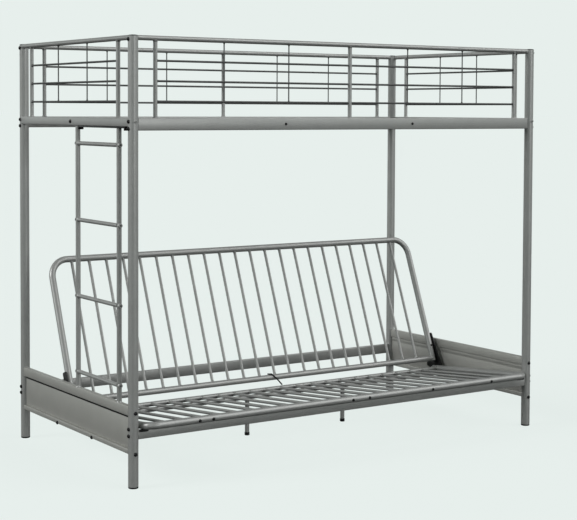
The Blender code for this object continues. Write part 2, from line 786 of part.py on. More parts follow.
def tracks():
    """An angle on each end panel, along the seat's slope, under the glide's whole travel."""
    sheet_face = end_panel_x - sheet_thickness / 2 - clearance
    start = hinge - tilt * (seat_travel + track_end_margin)
    end = hinge + tilt * track_end_margin
    under = glide_height / 2 + clearance
    for side, sign in ends.items():
        shelf = bmesh.new()
        track_box(shelf, start, end, under, track_flange_thickness, sign, sheet_face, track_flange_width)
        track = add_object(f"seat_track_{side}", shelf, paint)
        web = bmesh.new()
        track_box(web, start, end, under, track_flange_drop, sign, sheet_face, track_flange_thickness)
        boolean(track, add_object(f"track_web_{side}", web), "UNION")


def track_box(bm, start, end, under, depth, sign, face, width):
    """One flange of a track: under is its top's distance below the hinge line, across the slope."""
    corners = [
        start - seat_normal * under,
        end - seat_normal * under,
        end - seat_normal * (under + depth),
        start - seat_normal * (under + depth),
    ]
    add_profile(bm, [(corner.y, corner.z) for corner in corners], sign * face, sign * (face - width))


def fold_angle():
    """How far the back turns until its tube lies on the rear rail's front edge, with the seat out."""
    arm = back_top - hinge
    hinge_out = hinge - tilt * seat_travel
    slope = 0
    for settle in range(fold_passes):
        edge_drop = rail_depth / 2 * tan(slope) + back_tube_diameter / 2 / cos(slope)
        resting = rear_rail_top + clearance + edge_drop
        turned = atan2(arm.z, arm.y) - asin((resting - hinge_out.z) / hypot(arm.y, arm.z))
        slope = pi / 2 - back_lean - turned
    return turned


cutter = post_cutter()
posts()
upper_rails(cutter)
guards(cutter)
deck()
ladder()
end_panels(cutter)
lower_rails(cutter)
seat()
back()
hinges()
tracks()
print("hinge", *(round(value, 5) for value in hinge))
print("slide axis", *(round(value, 6) for value in -tilt), "travel", seat_travel)
print("back folds by", round(fold_angle() * 180 / pi, 3), "degrees")
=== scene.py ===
# %% [markdown]
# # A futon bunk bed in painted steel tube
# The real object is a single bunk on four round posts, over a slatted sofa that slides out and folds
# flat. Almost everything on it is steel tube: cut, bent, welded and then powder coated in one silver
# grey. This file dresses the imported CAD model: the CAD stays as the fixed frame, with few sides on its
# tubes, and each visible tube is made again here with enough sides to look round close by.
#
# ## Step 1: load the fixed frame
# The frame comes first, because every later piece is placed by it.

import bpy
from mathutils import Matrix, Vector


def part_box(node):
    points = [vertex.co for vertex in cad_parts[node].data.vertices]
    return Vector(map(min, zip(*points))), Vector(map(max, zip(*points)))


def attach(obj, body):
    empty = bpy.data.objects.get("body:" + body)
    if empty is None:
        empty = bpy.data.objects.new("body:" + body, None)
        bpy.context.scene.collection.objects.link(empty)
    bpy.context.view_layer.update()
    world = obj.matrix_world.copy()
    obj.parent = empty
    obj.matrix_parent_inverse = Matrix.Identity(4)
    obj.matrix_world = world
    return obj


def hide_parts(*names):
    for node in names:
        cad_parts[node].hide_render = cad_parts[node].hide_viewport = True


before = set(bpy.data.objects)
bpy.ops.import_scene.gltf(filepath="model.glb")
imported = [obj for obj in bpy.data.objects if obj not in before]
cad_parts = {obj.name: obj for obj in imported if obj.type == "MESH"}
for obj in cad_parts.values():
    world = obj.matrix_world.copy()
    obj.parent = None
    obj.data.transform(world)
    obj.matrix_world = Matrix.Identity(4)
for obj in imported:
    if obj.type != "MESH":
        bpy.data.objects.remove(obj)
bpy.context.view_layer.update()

# %% The modules used
import bpy
import bmesh
from math import cos, pi, radians, sin, tan
from mathutils import Matrix, Vector

scene = bpy.context.scene

# %% [markdown]
# ## Step 2: the sizes
# Sizes are in metres. They repeat the named values of the part's own source, because this script reads
# nothing but the frame. X runs along the bed with the ladder at the left, Y runs back, and Z is up from
# the floor. Places that the frame can tell are read from it, and a size that only one step needs is
# named there.

# %% Posts, and how the rails meet them
ends = {"left": -1, "right": 1}
rows = {"front": -1, "rear": 1}


def middle_of(node):
    """The middle of a CAD node's box at rest."""
    low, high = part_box(node)
    return (low + high) / 2


post_radius = 0.019
post_at = {(row, side): middle_of(f"post_{row}_{side}") for row in rows for side in ends}
left_x, right_x = post_at["front", "left"].x, post_at["front", "right"].x
front_y, rear_y = post_at["front", "left"].y, post_at["rear", "left"].y
rail_half_depth, rail_edge = 0.011, 0.003
rail_reach = 0.015  # a rail ends inside its post, this far from the post's axis
flush_reach = 0.002  # and what lies flush with the outside of the posts ends this far from it
clearance = 0.0003
print("posts at x", left_x, right_x, "and y", front_y, rear_y)

# %% Seat, hinge and back, from the front upwards
frame_side_x = 0.940
seat_front_overhang, seat_front_height, seat_depth = 0.045, 0.2335, 0.608
hinge_behind_rear_tube = 0.019
back_bottom_behind_hinge, back_bottom_above_hinge, back_length = 0.019, 0.0447, 0.5947
seat_tilt, back_lean = radians(5.6), radians(21.7)
tilt = Vector((0, cos(seat_tilt), -sin(seat_tilt)))
seat_normal = Vector((0, sin(seat_tilt), cos(seat_tilt)))
lean = Vector((0, sin(back_lean), cos(back_lean)))
back_normal = Vector((0, -cos(back_lean), sin(back_lean)))
seat_front = Vector((0, front_y - seat_front_overhang, seat_front_height))
seat_rear = seat_front + tilt * seat_depth
hinge = seat_rear + tilt * hinge_behind_rear_tube
back_bottom = hinge + Vector((0, back_bottom_behind_hinge, back_bottom_above_hinge))
back_top = back_bottom + lean * back_length
print("hinge", hinge, "top of the back", back_top)

# %% [markdown]
# ## Step 3: the camera
# The photograph was taken with a long lens from the front left, at the height of the upper rails. The
# verticals of the bed stay nearly parallel in it, so the lens was held almost level and its picture
# shifted down. The place, the angles and the lens came from matching the feet, tops and guard bars of
# the bed with the photograph, on a picture 577 by 520 pixels.

# %% Camera
camera_place = Vector((-3.4329, -5.13935, 1.39835))
camera_yaw, camera_pitch, camera_roll = radians(33.898), radians(-2.6), radians(-0.242)
focal_length, film_width, film_shift = 89.567, 36, -0.1473
forward = Vector((
    sin(camera_yaw) * cos(camera_pitch), cos(camera_yaw) * cos(camera_pitch), sin(camera_pitch),
))
level_right = Vector((cos(camera_yaw), -sin(camera_yaw), 0))
level_down = forward.cross(level_right)
camera_right = level_right * cos(camera_roll) + level_down * sin(camera_roll)
camera_down = level_down * cos(camera_roll) - level_right * sin(camera_roll)
camera_data = bpy.data.cameras.new("camera")
camera_data.lens, camera_data.sensor_width = focal_length, film_width
camera_data.shift_y = film_shift
camera = bpy.data.objects.new("camera", camera_data)
axes = Matrix((camera_right, -camera_down, -forward)).transposed()
camera.matrix_world = Matrix.Translation(camera_place) @ axes.to_4x4()
scene.collection.objects.link(camera)
scene.camera = camera
print("camera at", camera_place)

# %% [markdown]
# ## Step 4: colours and nodes
# Colours are written as they would be read off a screen, in sRGB hex. A shader works in linear light,
# so one function turns the first into the second, by the curve of the sRGB standard. A second function
# adds a node to a material, sets its values and joins its inputs. A third starts a material.

# %% Helpers that start a finish
def linear(code):
    """An sRGB hex colour as the linear colour that a shader takes."""
    parts = [int(code[at:at + 2], 16) / 255 for at in (1, 3, 5)]
    return (*[part / 12.92 if part <= 0.04045 else ((part + 0.055) / 1.055) ** 2.4 for part in parts], 1)


def add_node(tree, kind, settings, **links):
    """A node of one kind. Settings are inputs by name or number, or the node's own properties. A link
    is named for its input, or with i and the input's number."""
    node = tree.nodes.new(kind)
    for key, value in settings.items():
        if isinstance(key, int) or key in node.inputs:
            node.inputs[key].default_value = value
        else:
            setattr(node, key, value)
    for key, source in links.items():
        socket = int(key[1:]) if key[1:].isdigit() else key
        tree.links.new(source, node.inputs[socket])
    return node


def finish(name, shader_settings):
    """A material with one Principled shader: itself, its tree, its shader and object coordinates."""
    made = bpy.data.materials.new(name)
    made.use_nodes = True
    tree = made.node_tree
    shader = tree.nodes["Principled BSDF"]
    for key, value in shader_settings.items():
        shader.inputs[key].default_value = value
    place = add_node(tree, "ShaderNodeTexCoord", {}).outputs["Object"]
    return made, tree, shader, place


print("white in linear light", linear("#FFFFFF"))

# %% [markdown]
# Every finish below ends alike: one pattern runs between two colours, one between two roughnesses, and
# one is the relief. One function joins them to the shader. A Mix node has sockets for each kind of
# value: 0 is its factor, 2 and 3 take numbers, 6 and 7 colours. Output 0 is a number and 2 a colour.

# %% A helper that ends a finish
whole_span = (0.0, 1.0)


def join_patterns(tree, shader, colour, gloss, relief):
    """Colour is a pattern and two hex colours. Gloss is a pattern, the span of it that counts, a
    roughness, and how far it goes below and above that. Relief is a pattern, a strength and a depth."""
    shade, dark, light = colour
    mixed = add_node(
        tree, "ShaderNodeMix", {"data_type": "RGBA", 6: linear(dark), 7: linear(light)}, i0=shade
    )
    sheen, (low, high), roughness, (less, more) = gloss
    rough = add_node(
        tree, "ShaderNodeMapRange",
        {"From Min": low, "From Max": high, "To Min": roughness - less, "To Max": roughness + more},
        Value=sheen,
    )
    height, strength, depth = relief
    bump = add_node(tree, "ShaderNodeBump", {"Strength": strength, "Distance": depth}, Height=height)
    tree.links.new(mixed.outputs[2], shader.inputs["Base Color"])
    tree.links.new(rough.outputs[0], shader.inputs["Roughness"])
    tree.links.new(bump.outputs[0], shader.inputs["Normal"])


print("finishes can be joined")

# %% [markdown]
# ## Step 5: the paint on the steel
# The tubes are mild steel with a silver grey powder coat: a dry polyester powder with aluminium flakes,
# sprayed on and baked. The flakes give a soft metallic gloss with a fine sparkle. The powder flows out
# unevenly, which leaves a slight orange peel of about 2 mm. And the coat lies thicker in some places, which
# shows as faint cloudy patches of 3 to 6 cm. Real flakes are 0.03 mm and far too fine to show, so they are
# drawn at about 1 mm. The end panels take a copy of the coat that is duller and a little lighter: the duller
# gloss is the sheet's own, and the extra lightness is painted light on their sideways faces. The thin bars
# and rods of the guards take a much darker copy of the same coat, which is painted shade.

# %% Powder coat
cloud_size, flake_size, peel_size = 0.060, 0.0011, 0.0022
flake_share = 0.80
shade_span = (0.33, 0.67)  # a noise pattern hardly leaves the middle of its range
flake_span, flake_gloss, peel_relief = (0.3, 0.7), (0.06, 0.06), (0.12, 0.0004)


def powder_coat(name, dark, light, roughness, metallic):
    made, tree, shader, place = finish(name, {"Metallic": metallic})
    cloud, flake, peel = [
        add_node(tree, "ShaderNodeTexNoise", {"Scale": 1 / size, "Detail": detail}, Vector=place).outputs[0]
        for size, detail in ((cloud_size, 3.0), (flake_size, 1.0), (peel_size, 2.0))
    ]
    both = add_node(tree, "ShaderNodeMix", {"data_type": "FLOAT", 0: flake_share}, i2=cloud, i3=flake)
    spread = add_node(
        tree, "ShaderNodeMapRange", {"From Min": shade_span[0], "From Max": shade_span[1]},
        Value=both.outputs[0],
    )
    join_patterns(
        tree, shader, (spread.outputs[0], dark, light), (flake, flake_span, roughness, flake_gloss),
        (peel, *peel_relief),
    )
    return made


tube_paint = powder_coat("silver_grey_powder_coat", "#959694", "#AAABA9", 0.38, 0.35)
# a duller, lighter copy of the coat for the end panels: the duller gloss is the sheet's own, and the extra
# lightness is painted light on their sideways faces
panel_paint_with_painted_light = powder_coat("silver_grey_powder_coat_on_sheet_painted_light", "#A1A19C", "#B4B4AF", 0.44, 0.40)
# a much darker copy of the coat for the guards' bars and rods: painted shade
bar_paint_painted_shade = powder_coat("silver_grey_powder_coat_painted_shade", "#454645", "#535453", 0.42, 0.35)
print("paint", tube_paint.name, panel_paint_with_painted_light.name, bar_paint_painted_shade.name)

# %% [markdown]
# ## Step 6: the black enamel and the plastics
# The hinge plates, the bolts, the wire and the strip over the ladder are steel with a black satin enamel:
# thin, smooth and a little glossy, so it shows narrow highlights on its edges. The caps, the feet, the plugs
# and the pads are injection moulded polypropylene: black, duller, with a fine spark eroded grain of about 0.6
# mm. The same black plastic makes the strips in the end panels' grooves, which are painted shade for the dark
# line under their top rails. The glides are natural nylon, milky white and slightly waxy, which a little
# scattering under the surface gives.

# %% Black enamel and moulded plastics
dull_shader = {"IOR": 1.50, "Specular IOR Level": 0.35}
enamel_patch_size, enamel_gloss, enamel_relief = 0.012, (0.05, 0.08), (0.05, 0.0002)
plastic_patch_size, plastic_gloss, plastic_relief = 0.020, (0.04, 0.06), (0.15, 0.0002)
scatter_reach = (0.004, 0.004, 0.003)  # how far red, green and blue light travel in the plastic


def smooth_enamel(name, dark, light, roughness):
    made, tree, shader, place = finish(name, dull_shader)
    patch = add_node(
        tree, "ShaderNodeTexNoise", {"Scale": 1 / enamel_patch_size, "Detail": 4.0}, Vector=place
    ).outputs[0]
    join_patterns(
        tree, shader, (patch, dark, light), (patch, whole_span, roughness, enamel_gloss),
        (patch, *enamel_relief),
    )
    return made


def moulded_plastic(name, dark, light, roughness, grain_size, scatter):
    made, tree, shader, place = finish(name, {
        **dull_shader, "Subsurface Weight": scatter, "Subsurface Radius": scatter_reach,
        "Subsurface Scale": 1.0,
    })
    grain = add_node(tree, "ShaderNodeTexVoronoi", {"Scale": 1 / grain_size}, Vector=place)
    patch = add_node(
        tree, "ShaderNodeTexNoise", {"Scale": 1 / plastic_patch_size, "Detail": 2.0}, Vector=place
    ).outputs[0]
    join_patterns(
        tree, shader, (patch, dark, light), (patch, whole_span, roughness, plastic_gloss),
        (grain.outputs["Distance"], *plastic_relief),
    )
    return made


enamel = smooth_enamel("black_satin_enamel", "#0B0B0C", "#131314", 0.38)
polypropylene = moulded_plastic("black_moulded_polypropylene", "#101011", "#1A1A1B", 0.50, 0.0006, 0.0)
nylon = moulded_plastic("natural_moulded_nylon", "#D4D3CB", "#DEDDD6", 0.42, 0.0008, 0.15)
print("black and white finishes", enamel.name, polypropylene.name, nylon.name)

# %% [markdown]
# ## Step 7: how a piece is finished
# Each shape below grows in a bmesh. Each finish has one slot.

# %% Make a piece from a bmesh
sharp_over = radians(34)


def add_piece(name, bm, paint, body, *nodes, second_paint=None):
    """Faces with material index 1 take the second paint."""
    bmesh.ops.recalc_face_normals(bm, faces=bm.faces)
    mesh = bpy.data.meshes.new(name)
    bm.to_mesh(mesh)
    bm.free()
    mesh.shade_smooth()
    mesh.set_sharp_from_angle(angle=sharp_over)
    mesh.materials.append(paint)
    if second_paint:
        mesh.materials.append(second_paint)
    piece = bpy.data.objects.new(name, mesh)
    scene.collection.objects.link(piece)
    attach(piece, body)
    if nodes:
        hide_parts(*nodes)
    print(name, len(mesh.polygons), "faces on", body)


# %% [markdown]
# ## Step 8: bars, tubes and rails
# A straight round bar is a cone with two equal radii, stood along its line. The welds are small fillets
# of metal, flattened under the paint, and without them a grille looks like a drawing: each is a short
# tapered bar that starts a little inside the tube.

# %% Round bars and welds
weld_depth, weld_spread, weld_tip_share = 0.0045, 0.0020, 0.97


def stand(place, direction):
    """The transform that stands a shape made on Z at a place, along a direction."""
    turn = Vector(direction).to_track_quat("Z", "X").to_matrix().to_4x4()
    return Matrix.Translation(place) @ turn


def add_bar(bm, start, end, radius, sides, end_radius=None):
    """A round bar from point to point. With an end radius it tapers."""
    start, end = Vector(start), Vector(end)
    along = end - start
    last = radius if end_radius is None else end_radius
    bmesh.ops.create_cone(
        bm, cap_ends=True, segments=sides, radius1=radius, radius2=last, depth=along.length,
        matrix=stand((start + end) / 2, along),
    )


def add_weld(bm, place, direction, tube_radius, bar_radius, sides):
    """The fillet of weld round a bar where it leaves a tube whose axis is at the place."""
    out = Vector(direction).normalized()
    sink = bar_radius / 4
    start = Vector(place) + out * (tube_radius - sink)
    end = start + out * (weld_depth + sink)
    add_bar(bm, start, end, bar_radius + weld_spread, sides, bar_radius * weld_tip_share)


def add_welded_bar(bm, start, end, radius, sides, start_tube, end_tube):
    """A bar from the axis of one tube to the axis of another, with a weld at each."""
    start, end = Vector(start), Vector(end)
    add_bar(bm, start, end, radius, sides)
    add_weld(bm, start, end - start, start_tube, radius, sides)
    add_weld(bm, end, start - end, end_tube, radius, sides)


print("bars ready")

# %% [markdown]
# A bent tube starts as a circle: its rim is extruded along each straight run and spun round each bend,
# as a bending machine would do it. An open end gets its wall and a stretch of bore, to look hollow.

# %% Bent tubes with open ends
bore_share, bore_depth = 0.89, 0.030


def once(parts):
    """Each part a single time, in the order met, so that every run builds the same mesh."""
    return list(dict.fromkeys(parts))


def points_in(parts):
    return [part for part in parts if isinstance(part, bmesh.types.BMVert)]


def edges_in(parts):
    return [part for part in parts if isinstance(part, bmesh.types.BMEdge)]


def push(bm, rim, move):
    """Extrudes a rim of edges by a vector and returns the new rim."""
    grown = bmesh.ops.extrude_edge_only(bm, edges=rim)["geom"]
    bmesh.ops.translate(bm, vec=move, verts=points_in(grown))
    return [edge for edge in edges_in(grown) if edge.is_boundary]


def rim_points(rim):
    return once(point for edge in rim for point in edge.verts)


def open_end(bm, rim, inward, share, depth):
    """Gives a tube's rim the thickness of its wall and a bore that is closed out of sight."""
    points = rim_points(rim)
    middle = sum((point.co for point in points), Vector()) / len(points)
    lip = push(bm, rim, Vector())
    bmesh.ops.scale(bm, vec=(share,) * 3, space=Matrix.Translation(-middle), verts=rim_points(lip))
    floor_rim = push(bm, lip, inward * depth)
    bmesh.ops.edgeloop_fill(bm, edges=floor_rim)


def add_bent_tube(bm, corners, bend, radius, sides, steps, share=bore_share, depth=bore_depth):
    """A tube through its corners, each turned with one bend radius, hollow at both ends."""
    corners = [Vector(corner) for corner in corners]
    heading = (corners[1] - corners[0]).normalized()
    circle = bmesh.ops.create_circle(bm, segments=sides, radius=radius, matrix=stand(corners[0], heading))
    first = once(edge for point in circle["verts"] for edge in point.link_edges)
    rim, place = first, corners[0]
    for before, corner, after in zip(corners, corners[1:], corners[2:]):
        back, onward = (before - corner).normalized(), (after - corner).normalized()
        half = back.angle(onward) / 2
        reach = bend / tan(half)
        rim = push(bm, rim, corner + back * reach - place)
        turned = bmesh.ops.spin(
            bm, geom=rim_points(rim) + rim, cent=corner + (back + onward).normalized() * bend / sin(half),
            axis=onward.cross(back), angle=pi - 2 * half, steps=steps,
        )
        rim = edges_in(turned["geom_last"])
        place = corner + onward * reach
    rim = push(bm, rim, corners[-1] - place)
    open_end(bm, first, heading, share, depth)
    open_end(bm, rim, (corners[-2] - corners[-1]).normalized(), share, depth)


print("bent tubes ready")

# %% [markdown]
# A rail is a block with its long edges rolled round, which a bevel makes. A plate is an outline of a
# few corners, extruded. A turned shape is a profile spun round an axis, with its poles merged.

# %% Blocks, plates and turned shapes
def round_edges(bm, edges, radius, segments=3):
    bmesh.ops.bevel(
        bm, geom=edges, offset=radius, offset_type="OFFSET", segments=segments, profile=0.5,
        affect="EDGES", material=-1, clamp_overlap=True,
    )


def add_block(bm, low, high, edge=0.0, segments=3):
    """A block between two corners, with all its edges rounded where an edge radius is given."""
    low, high = Vector(low), Vector(high)
    place = Matrix.Translation((low + high) / 2) @ Matrix.Diagonal((*(high - low), 1))
    cube = bmesh.ops.create_cube(bm, size=1, matrix=place)
    if edge:
        round_edges(bm, once(side for point in cube["verts"] for side in point.link_edges), edge, segments)


def add_plate(bm, corners, thickness):
    """A flat outline extruded by a vector."""
    face = bm.faces.new([bm.verts.new(corner) for corner in corners])
    grown = bmesh.ops.extrude_face_region(bm, geom=[face], use_keep_orig=True)["geom"]
    bmesh.ops.translate(bm, vec=thickness, verts=points_in(grown))


def add_turned(bm, place, rings, sides, direction=(0, 0, 1)):
    """A solid turned round an axis: each ring is a radius and a height above the place."""
    before = set(bm.verts)
    profile = [bm.verts.new((radius, 0, height)) for radius, height in rings]
    edges = [bm.edges.new(pair) for pair in zip(profile, profile[1:])]
    bmesh.ops.spin(
        bm, geom=profile + edges, cent=(0, 0, 0), axis=(0, 0, 1), angle=2 * pi, steps=sides, use_merge=True
    )
    pole_size = rings[1][0] / 1000
    bmesh.ops.remove_doubles(bm, verts=[point for point in bm.verts if point not in before], dist=pole_size)
    made = [point for point in bm.verts if point not in before]
    bmesh.ops.transform(bm, matrix=stand(place, direction), verts=made)


print("blocks ready")

# %% [markdown]
# ## Step 9: posts, caps and feet
# Each post is one 38 mm tube from the floor to the top guard. A moulded cap closes its top and a
# moulded foot protects the floor. It is seen close up, so it has 64 sides. The cap and the foot are
# turned shapes.

# %% Posts with their caps and feet
post_sides, moulding_sides = 64, 48
post_low, post_high = [corner.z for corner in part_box("post_front_left")]
top_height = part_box("post_cap_front_left")[1].z
cap_height, foot_height = 0.004, 0.006
cap_rings = [
    (0, cap_height), (0.0080, 0.0038), (0.0140, 0.0031), (0.0172, 0.0021), (0.0187, 0.0010),
    (post_radius, 0), (0, 0),
]
foot_rings = [
    (0, 0), (0.0165, 0), (0.0183, 0.0008), (post_radius, 0.0024), (post_radius, foot_height),
    (0, foot_height),
]
for (row, side), middle in post_at.items():
    x, y = middle.xy
    corner = f"{row}_{side}"
    bm = bmesh.new()
    add_bar(bm, (x, y, post_low), (x, y, post_high), post_radius, post_sides)
    add_piece(f"post_tube_{corner}", bm, tube_paint, "bunk", f"post_{corner}")
    bm = bmesh.new()
    add_turned(bm, (x, y, top_height - cap_height), cap_rings, moulding_sides)
    add_piece(f"cap_{corner}", bm, polypropylene, "bunk", f"post_cap_{corner}")
    bm = bmesh.new()
    add_turned(bm, (x, y, 0), foot_rings, moulding_sides)
    add_piece(f"foot_{corner}", bm, polypropylene, "bunk", f"post_foot_{corner}")

# %% [markdown]
# ## Step 10: the upper rails
# The rails of the upper bed are rectangular tube. Their ends are shaped to fit round the posts, which
# hides them, so a block that runs a little way into each post looks the same. The end rails are less
# high, and their outer faces are flush with the outside of the posts. The roll of the long edges, with
# a radius of about 3 mm, is what catches the light.

# %% Upper rails
def add_long_rail(name, row, node):
    """A rail along X between the posts of a row, as high as its CAD node."""
    low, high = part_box(node)
    y = post_at[row, "left"].y
    bm = bmesh.new()
    add_block(
        bm, (left_x + rail_reach, y - rail_half_depth, low.z),
        (right_x - rail_reach, y + rail_half_depth, high.z), rail_edge,
    )
    add_piece(name, bm, tube_paint, "bunk", node)


for row in rows:
    add_long_rail(f"rail_upper_{row}", row, f"upper_rail_{row}")
for side in ends:
    low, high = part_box(f"upper_end_rail_{side}")
    bm = bmesh.new()
    add_block(bm, (low.x, front_y + flush_reach, low.z), (high.x, rear_y - flush_reach, high.z), rail_edge)
    add_piece(f"rail_upper_end_{side}", bm, tube_paint, "bunk", f"upper_end_rail_{side}")
upper_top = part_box("upper_rail_front")[1].z
print("upper rails up to", upper_top)

# %% [markdown]
# ## Step 11: the guards
# Each guard is a welded grille: a 19 mm tube on top, 16 mm uprights that stand on the rail, three 8 mm bars
# and thin 5 mm rods. The uprights' welds on the rail are a little wider than the others. The bars and the
# rods take the darker copy of the coat, which is painted shade.

# %% Sizes of the guards
guard_tube_radius, upright_radius, guard_bar_radius, rod_radius = 0.0095, 0.0080, 0.0040, 0.0025
guard_tube_sides, upright_sides, bar_sides, rod_sides = 32, 28, 16, 12
guard_tube_drop = 0.0105
guard_top = top_height - guard_tube_drop
lowest_bar_rise, bar_pitch, bar_count = 0.061, 0.075, 3
bar_heights = [upper_top + lowest_bar_rise + bar_pitch * index for index in range(bar_count)]
foot_weld_height, foot_weld_radius = 0.0037, 0.0105
# how far in the tube ends and the grille starts, the bays, and where among them the uprights are
long_guard = rail_reach, 0.092, 6, (0, 3, 6)
end_guard = flush_reach, 0.100, 3, (0, 3)
print("guard bars at", [round(height, 3) for height in bar_heights])


# %% Guards
def add_guard(name, start, end, reach, inset, bays, uprights, node):
    """A guard between two posts, with thick uprights at some of its bays and rods at the others."""
    start, end, up = Vector(start), Vector(end), Vector((0, 0, 1))
    along, top = (end - start).normalized(), up * guard_top
    bm = bmesh.new()
    add_bar(bm, start + along * reach + top, end - along * reach + top, guard_tube_radius, guard_tube_sides)
    first, last = start + along * inset, end - along * inset
    places = [first + (last - first) * index / bays for index in range(bays + 1)]
    for index in uprights:
        foot = places[index] + up * (upper_top + clearance)
        add_bar(bm, foot, places[index] + top, upright_radius, upright_sides)
        add_bar(bm, foot, foot + up * foot_weld_height, foot_weld_radius, upright_sides, upright_radius)
        add_weld(bm, places[index] + top, -up, guard_tube_radius, upright_radius, upright_sides)
    tubes = set(bm.faces)
    for height in bar_heights:
        near, far = first + up * height, last + up * height
        add_welded_bar(bm, near, far, guard_bar_radius, bar_sides, upright_radius, upright_radius)
    for index in [index for index in range(bays + 1) if index not in uprights]:
        foot, head = places[index] + up * bar_heights[0], places[index] + top
        add_welded_bar(bm, foot, head, rod_radius, rod_sides, guard_bar_radius, guard_tube_radius)
    # the faces of the bars and rods take the second paint, a darker copy of the coat that is painted shade
    for face in bm.faces:
        if face not in tubes:
            face.material_index = 1
    add_piece(name, bm, tube_paint, "bunk", node, second_paint=bar_paint_painted_shade)


for row in rows:
    y = post_at[row, "left"].y
    add_guard(f"grille_{row}", (left_x, y, 0), (right_x, y, 0), *long_guard, f"guard_{row}")
for side, sign in ends.items():
    x = sign * (right_x + post_radius - guard_tube_radius)
    add_guard(f"grille_end_{side}", (x, front_y, 0), (x, rear_y, 0), *end_guard, f"guard_end_{side}")

# %% [markdown]
# ## Step 12: the deck of the upper bed
# Under the mattress lie three welded panels of slats, on cross supports that are bolted to the long
# rails. They are seen from below, from above and from the ends. The slats run into small flat runners.

# %% Deck panels and supports
runner_width, runner_edge, fine_segments = 0.010, 0.0015, 2
slats_per_panel, slat_radius, slat_sides = 8, 0.006, 20
support_edge = 0.0025
for place in ("left", "middle", "right"):
    low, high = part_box(f"deck_panel_{place}")
    bm = bmesh.new()
    for y in (low.y, high.y - runner_width):
        add_block(bm, (low.x, y, low.z), (high.x, y + runner_width, high.z), runner_edge, fine_segments)
    pitch, z = (high.x - low.x) / slats_per_panel, (low.z + high.z) / 2
    front, rear = low.y + runner_width / 2, high.y - runner_width / 2
    for index in range(slats_per_panel):
        x = low.x + pitch * (index + 0.5)
        add_welded_bar(bm, (x, front, z), (x, rear, z), slat_radius, slat_sides, slat_radius, slat_radius)
    add_piece(f"deck_slats_{place}", bm, tube_paint, "bunk", f"deck_panel_{place}")
for place in ("left", "right"):
    bm = bmesh.new()
    add_block(bm, *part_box(f"deck_support_{place}"), support_edge)
    add_piece(f"deck_cross_tube_{place}", bm, tube_paint, "bunk", f"deck_support_{place}")

# %% [markdown]
# ## Step 13: the ladder
# The ladder is part of the left end. Its two stiles stand on the end panel and reach the upper end
# rail. Four rungs go right through both stiles and stick out 4 mm, with a black plug in each open end.
# Under the upper end rail lies a thin black strip, with a small tab turned down at each end. The weld
# of a bar that is almost as thick as its tube starts further in, or it would float.

# %% Ladder stiles
stile_radius, rung_radius, tube_sides = 0.0095, 0.0080, 32
stile_weld_height, stile_weld_radius = 0.004, 0.0115
thick_weld_start, rung_count = 0.0088, 4
rung_nodes = [f"ladder_rung_{index + 1}" for index in range(rung_count)]
for row in rows:
    low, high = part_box(f"ladder_stile_{row}")
    x, y, _ = (low + high) / 2
    bm = bmesh.new()
    add_bar(bm, (x, y, low.z), (x, y, high.z), stile_radius, tube_sides)
    weld_top = (x, y, low.z + stile_weld_height)
    add_bar(bm, (x, y, low.z), weld_top, stile_weld_radius, tube_sides, stile_radius)
    for node in rung_nodes:
        for out in (-1, 1):
            place = (x, y, middle_of(node).z)
            add_weld(bm, place, (0, out, 0), thick_weld_start, rung_radius, upright_sides)
    add_piece(f"stile_{row}", bm, tube_paint, "bunk", f"ladder_stile_{row}")

# %% Rungs, their plugs and the strip
plug_length, plug_sides = 0.003, 24
plug_rings = [
    (0, plug_length), (0.0045, 0.0027), (0.0072, 0.0018), (0.0084, 0.0006), (0.0086, -0.0010),
    (0.0086, -0.0040), (0, -0.0040),
]
rungs, plugs = bmesh.new(), bmesh.new()
for node in rung_nodes:
    low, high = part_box(node)
    x, _, z = (low + high) / 2
    front, rear = (x, low.y + plug_length, z), (x, high.y - plug_length, z)
    add_bar(rungs, front, rear, rung_radius, tube_sides)
    add_turned(plugs, front, plug_rings, plug_sides, (0, -1, 0))
    add_turned(plugs, rear, plug_rings, plug_sides, (0, 1, 0))
add_piece("rungs", rungs, tube_paint, "bunk", *rung_nodes)
add_piece("rung_plugs", plugs, polypropylene, "bunk")
tab_size, tab_overlap, strip_edge = 0.0085, 0.0020, 0.0012
low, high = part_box("ladder_top_strip")
bm = bmesh.new()
add_block(bm, low, high, strip_edge, fine_segments)
for y in (low.y, high.y - tab_size):
    corners = (low.x, y, low.z - tab_size), (high.x, y + tab_size, low.z + tab_overlap)
    add_block(bm, *corners, strip_edge, fine_segments)
add_piece("ladder_strip", bm, enamel, "bunk", "ladder_top_strip")

# %% [markdown]
# ## Step 14: the end panels
# Each end of the sofa is closed by a panel: a deep top rail, a sheet below it, and a slim bottom rail.
# The sheet is set well back from the rails' outer faces, so that the posts hide its ends. A groove runs along
# its top outside. A black strip in the groove, on the outer side only, is painted shade: it stands for the
# dark shadow line under the top rail.

# %% End panels
end_panel_offset = 0.004
end_panel_x = right_x + end_panel_offset
panel_rail_edges = {"top": rail_edge, "bottom": 0.0025}
inner_depth, groove_depth, outer_depth = 0.005, 0.0030, 0.0005  # inwards from the middle of the rails
groove_height, sheet_edge, shadow_strip_edge, shadow_strip_sink = 0.0105, 0.0010, 0.0008, 0.0005


def add_cross_block(bm, near_x, far_x, low_z, high_z, *rounding):
    """A block along Y from post to post, between two places on X."""
    low_x, high_x = sorted((near_x, far_x))
    add_block(bm, (low_x, front_y + rail_reach, low_z), (high_x, rear_y - rail_reach, high_z), *rounding)


